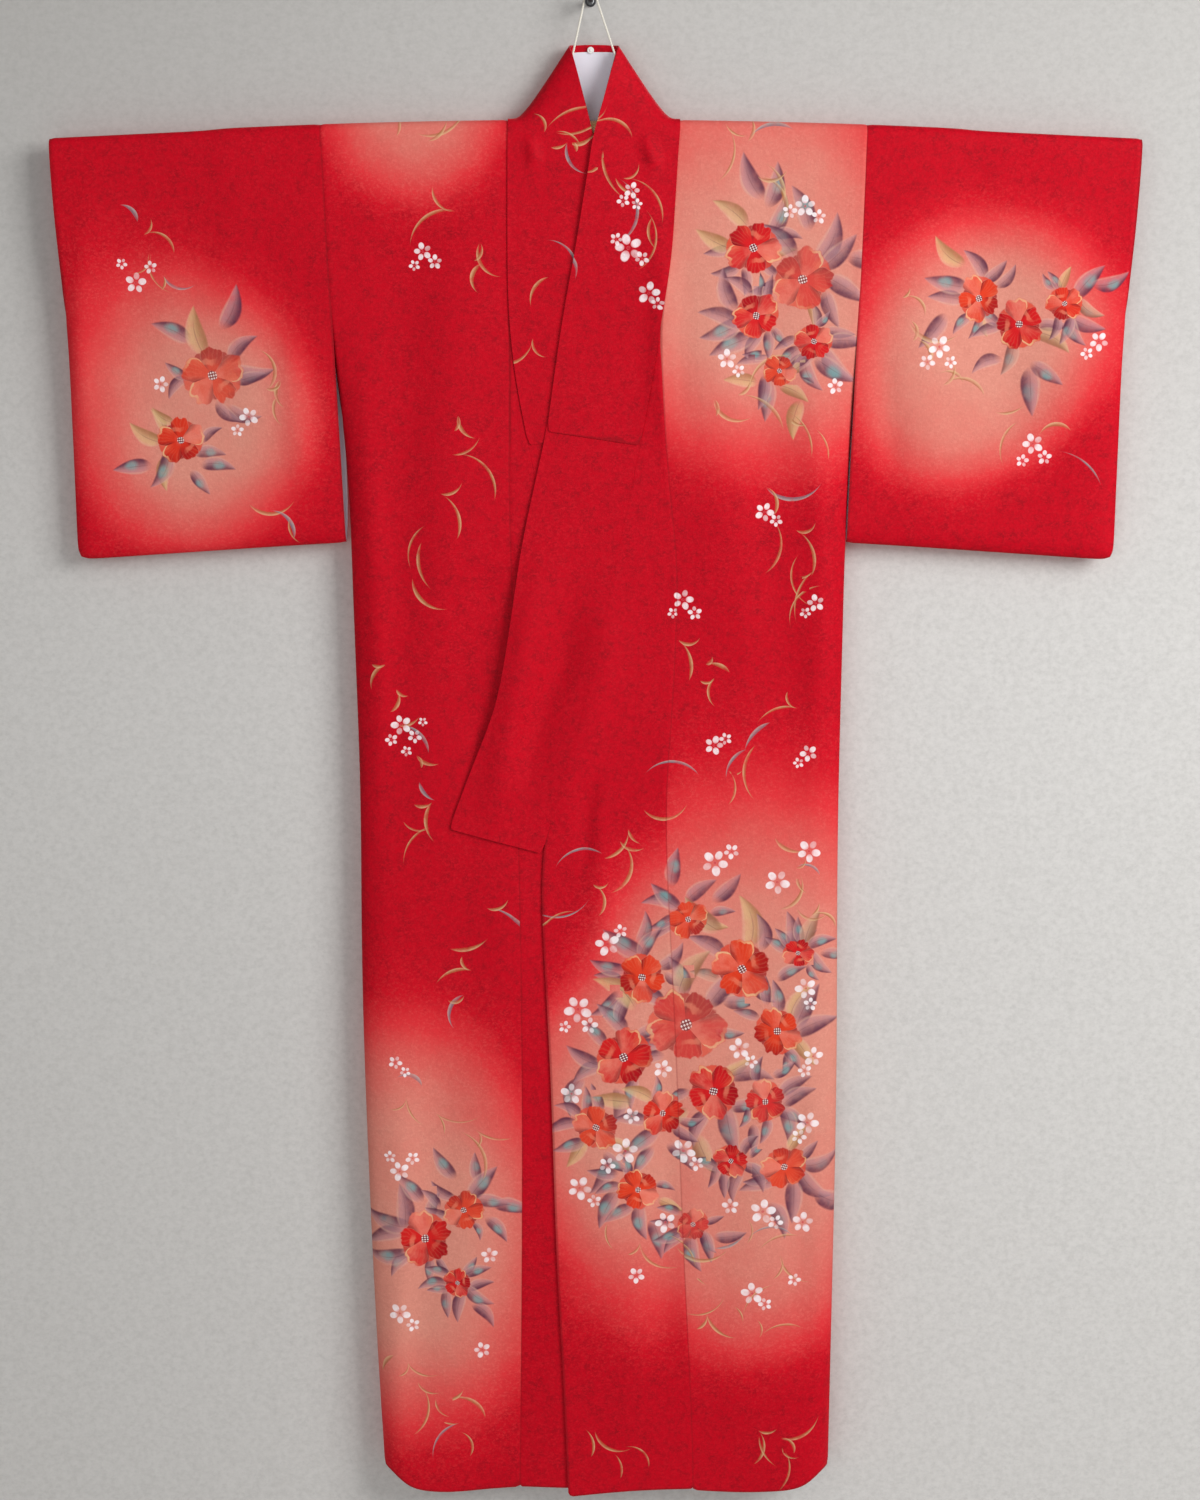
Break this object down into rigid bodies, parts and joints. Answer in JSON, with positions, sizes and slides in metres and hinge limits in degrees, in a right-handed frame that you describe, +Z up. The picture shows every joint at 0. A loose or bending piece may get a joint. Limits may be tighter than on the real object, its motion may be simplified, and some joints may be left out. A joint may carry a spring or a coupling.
{
  "type": "houmongi kimono",
  "caption": "Women's silk kimono hung flat by its sleeves on a bowed rod, with a cord to a wall hook; fronts overlap in layers, neck, cuffs, armholes and hem are open.",
  "frame": {"origin": "middle of the wall hook's flat back plate, on the wall plane", "axes": "+X to the viewer's right as the front is seen, +Y into the wall, +Z up"},
  "size_m": [1.269, 0.0612, 1.8592],
  "materials": {
    "crimson_silk": "soft sheen, fine crepe grain",
    "white_silk": "smooth, soft sheen",
    "snap_plastic": "glossy",
    "rod_wood": "smooth, lacquered",
    "cotton_cord": "braided, matte",
    "hook_steel": "satin black paint"
  },
  "bodies": {
    "root": {"body_right": "crimson_silk", "sleeve_right": "crimson_silk", "okumi_right": "crimson_silk", "sleeve_lining_right": "white_silk", "body_left": "crimson_silk", "sleeve_left": "crimson_silk", "okumi_left": "crimson_silk", "sleeve_lining_left": "white_silk", "collar": "crimson_silk", "over_collar": "crimson_silk", "collar_lining": "white_silk", "snap": "snap_plastic", "rod_main": "rod_wood", "rod_extension_right": "rod_wood", "rod_extension_left": "rod_wood", "cord": "cotton_cord", "wall_hook": "hook_steel"}
  },
  "joints": []
}
